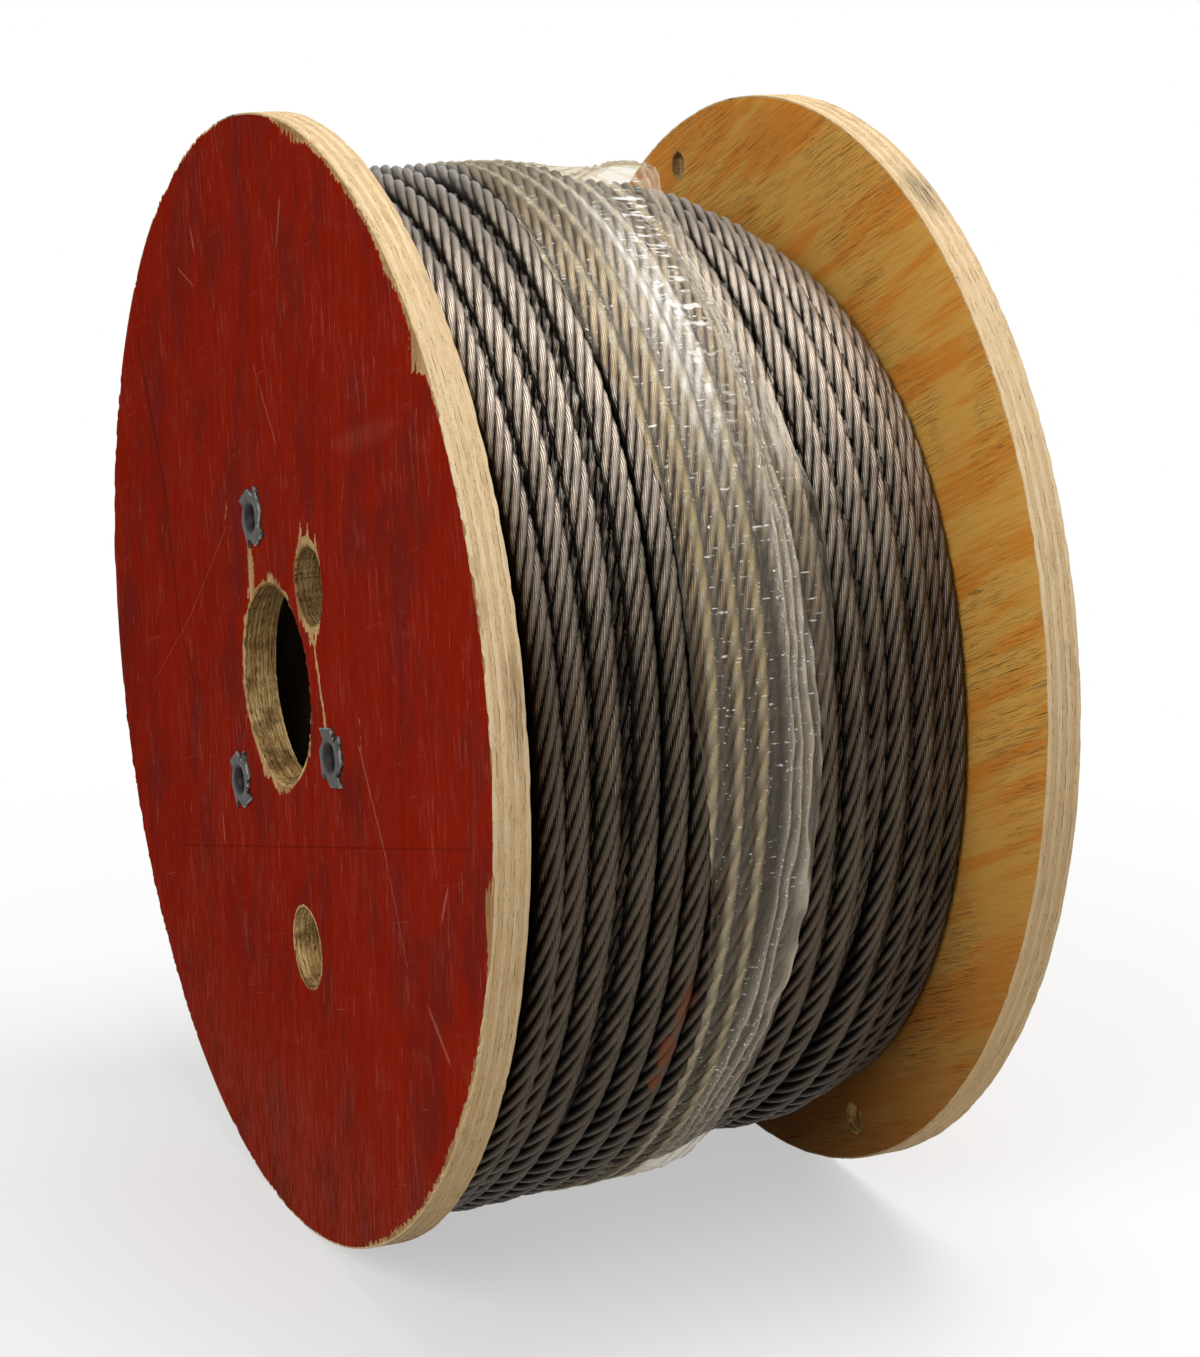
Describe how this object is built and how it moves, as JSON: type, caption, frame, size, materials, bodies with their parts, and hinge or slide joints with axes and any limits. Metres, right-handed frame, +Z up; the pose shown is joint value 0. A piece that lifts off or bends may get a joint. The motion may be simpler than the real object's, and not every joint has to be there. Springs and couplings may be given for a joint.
{
  "type": "plywood cable drum of wire rope",
  "caption": "Plywood cable drum lying on its rims, wound with steel wire rope in stepped layers and wrapped with clear film, with an arbor hole for a shaft.",
  "frame": {"origin": "on the arbor's axis, midway between the flanges", "axes": "+X along the arbor from the painted flange to the plain one, +Z up with the drum lying on its rims"},
  "size_m": [0.2163, 0.4059, 0.406],
  "materials": {
    "painted_plywood": "thin red paint on plywood",
    "bare_plywood": "bare sawn plywood",
    "fibre_tube": "matte",
    "wire_rope": "oiled steel wire",
    "clear_film": "clear glossy film",
    "fastener_steel": "dull zinc"
  },
  "bodies": {
    "root": {"flange_red": "painted_plywood", "flange_plain": "bare_plywood", "barrel_tube": "fibre_tube", "rope_winding": "wire_rope", "stretch_film": "clear_film", "tee_nut_1": "fastener_steel", "through_bolt_1": "fastener_steel", "tee_nut_2": "fastener_steel", "through_bolt_2": "fastener_steel", "tee_nut_3": "fastener_steel", "through_bolt_3": "fastener_steel"}
  },
  "joints": []
}
